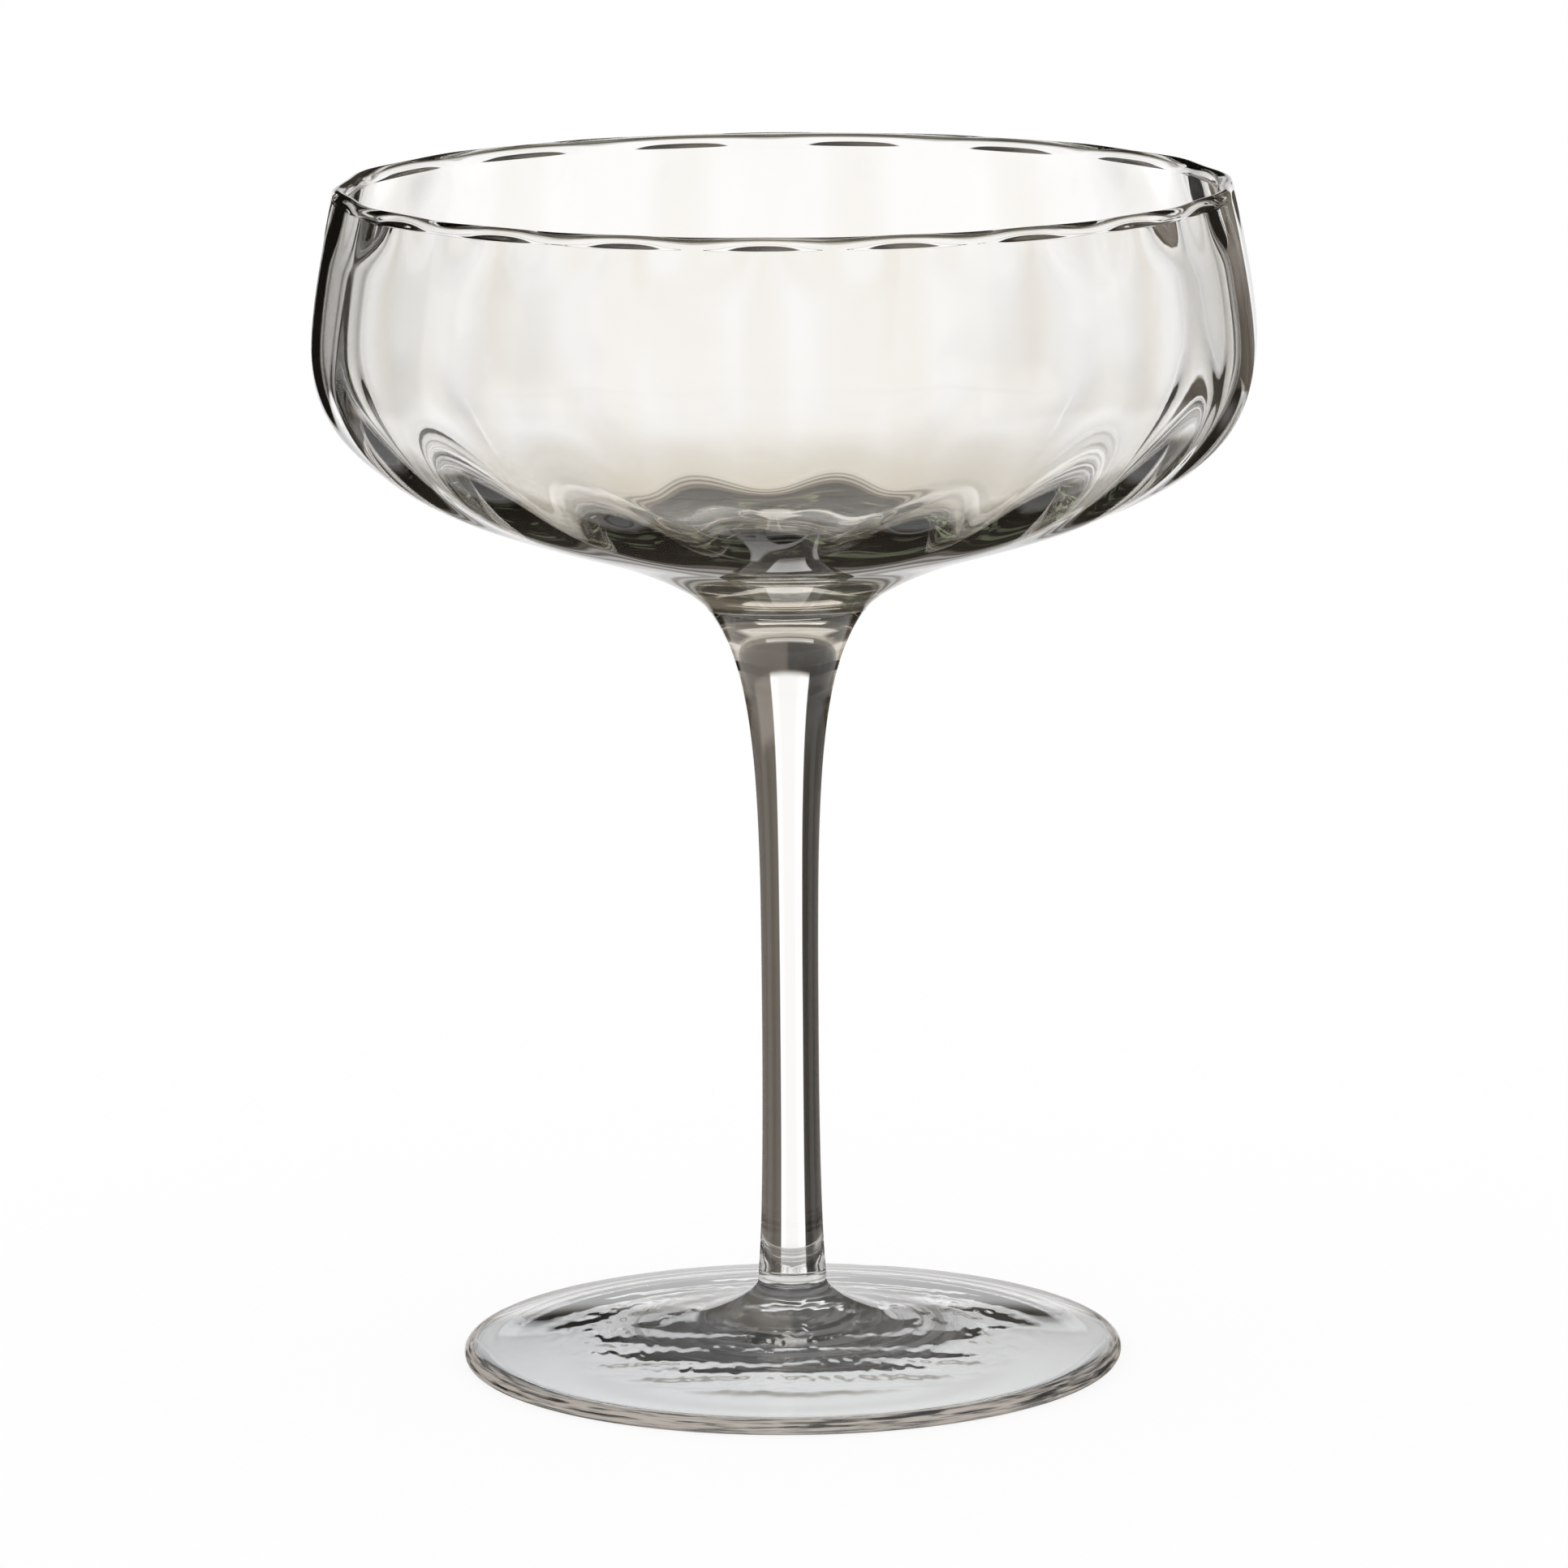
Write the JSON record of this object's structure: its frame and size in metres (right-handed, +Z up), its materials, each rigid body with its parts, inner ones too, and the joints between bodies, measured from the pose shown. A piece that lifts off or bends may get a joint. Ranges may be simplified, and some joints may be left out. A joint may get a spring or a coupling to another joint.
{
  "type": "champagne coupe glass",
  "caption": "Stemmed champagne coupe of blown glass: a wide shallow fluted bowl on a slim waisted stem and a round foot, for serving sparkling wine.",
  "frame": {"origin": "centre of the foot's resting ring, on the table", "axes": "+Z up along the stem's axis, from the foot to the bowl; -Y towards the viewer of the picture, +X to the viewer's right"},
  "size_m": [0.1109, 0.1107, 0.14],
  "materials": {
    "smoke_glass": "fire-polished clear glass with a faint warm smoke tint, high gloss",
    "clear_glass": "fire-polished colourless glass, high gloss"
  },
  "bodies": {
    "root": {"bowl": "smoke_glass", "stem": "smoke_glass", "foot": "clear_glass"}
  },
  "joints": []
}
